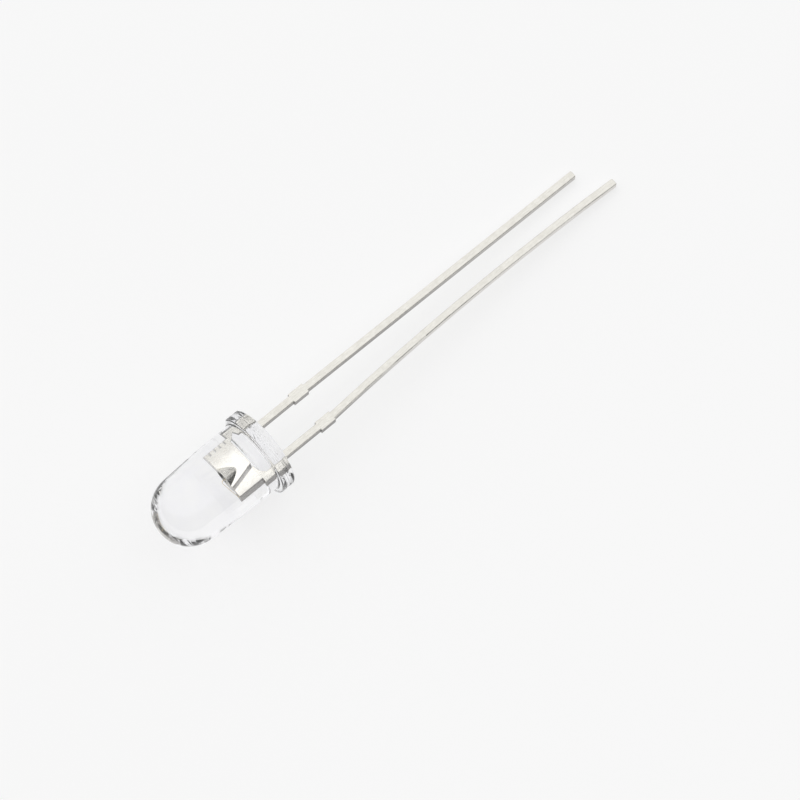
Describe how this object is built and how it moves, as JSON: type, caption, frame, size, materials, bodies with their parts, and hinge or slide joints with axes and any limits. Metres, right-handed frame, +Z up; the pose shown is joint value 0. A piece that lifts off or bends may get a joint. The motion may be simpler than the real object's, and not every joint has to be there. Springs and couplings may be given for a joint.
{
  "type": "through hole led",
  "caption": "Round 5 mm water-clear light-emitting diode with a domed lens, a flange with a flat, and a pair of straight leads of unequal length, lying on its side.",
  "frame": {"origin": "centre of the lying part's bounding box, on the surface that it rests on", "axes": "+X runs from the dome to the lead tips, +Y towards the cathode lead, +Z up; the lens axis is tilted about 5 degrees, with the dome raised, because the part rests on its flange rim and its two lead tips"},
  "size_m": [0.0374, 0.0056, 0.0059],
  "materials": {
    "resin": "water-clear moulded epoxy, polished by the mould",
    "tinned_lead": "stamped sheet with a silvery plating, slightly warm, soft sheen",
    "chip": "diced semiconductor, smooth top with a metal contact",
    "silver_adhesive": "matte silver-filled adhesive",
    "gold": "bright drawn gold wire"
  },
  "bodies": {
    "root": {"lens_body": "resin", "cathode_lead": "tinned_lead", "anode_lead": "tinned_lead", "led_chip": "chip", "die_attach": "silver_adhesive", "bond_wire": "gold"}
  },
  "joints": []
}
